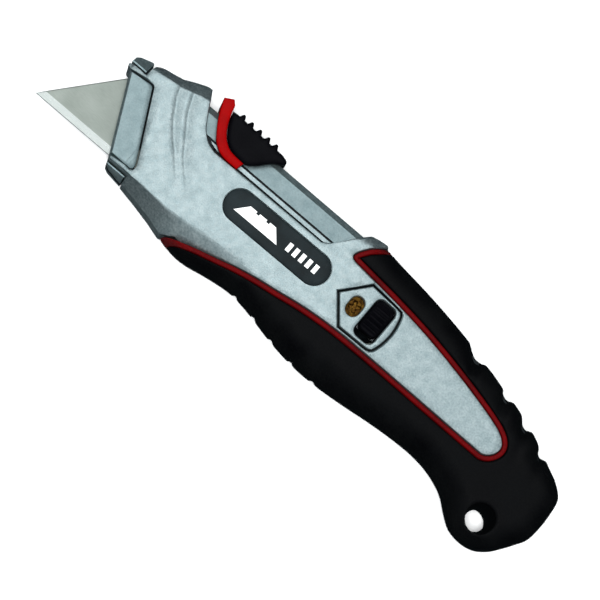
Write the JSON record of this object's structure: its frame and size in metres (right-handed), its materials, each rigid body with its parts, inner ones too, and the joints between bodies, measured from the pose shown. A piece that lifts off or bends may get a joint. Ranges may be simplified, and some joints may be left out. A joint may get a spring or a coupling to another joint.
{
  "type": "utility knife",
  "caption": "Retractable trapezoid-blade utility knife with a die-cast body, a thumb slider on the spine, a slide lock and a curved rubber grip with a lanyard hole.",
  "frame": {"origin": "under the middle of the whole knife, on the plane that its right cheek lies on", "axes": "+X from blade to heel, +Y from belly to spine, +Z out of the left cheek (up, as the knife lies)"},
  "size_m": [0.1752, 0.0494, 0.0209],
  "materials": {
    "silver_paint": "die-cast aluminium in light blue-grey metallic paint with a fine hammered grain",
    "guide_paint": "mid grey satin paint on metal",
    "grip_rubber": "matt black moulded rubber",
    "liner_rubber": "deep red satin moulded rubber",
    "slider_plastic": "black moulded plastic, fine texture",
    "trim_plastic": "deep red satin plastic",
    "blade_steel": "ground blade steel with a bright edge bevel",
    "spring_steel": "plain spring steel",
    "screw_brass": "yellow passivated brass colour",
    "badge_plate": "dark charcoal satin plate"
  },
  "bodies": {
    "body": {"left_shell": "silver_paint", "right_shell": "silver_paint", "lock_plate": "silver_paint", "left_nose_insert": "guide_paint", "right_nose_insert": "guide_paint", "slider_rail": "guide_paint", "left_grip": "grip_rubber", "right_grip": "grip_rubber", "left_grip_liner": "liner_rubber", "right_grip_liner": "liner_rubber", "magazine_tray": "slider_plastic", "front_dowel": "spring_steel", "rear_dowel": "spring_steel", "magazine_spring": "spring_steel", "main_screw": "screw_brass", "main_nut": "screw_brass", "left_badge": "badge_plate", "right_badge": "badge_plate", "spare_blade_1": "blade_steel", "spare_blade_2": "blade_steel", "spare_blade_3": "blade_steel", "spare_blade_4": "blade_steel", "spare_blade_5": "blade_steel"},
    "carriage": {"blade": "blade_steel", "blade_carrier": "slider_plastic", "thumb_slider": "slider_plastic", "slider_trim": "trim_plastic", "slider_pin": "spring_steel", "detent_spring": "spring_steel"},
    "lock": {"lock_button": "slider_plastic", "lock_bar": "spring_steel"}
  },
  "joints": [
    {"name": "blade_slide", "type": "slide", "parent": "body", "child": "carriage", "axis": [1, 0, 0], "range_m": [-0.0025, 0.027]},
    {"name": "lock_slide", "type": "slide", "parent": "body", "child": "lock", "axis": [0, -1, 0], "range_m": [0, 0.002]}
  ]
}
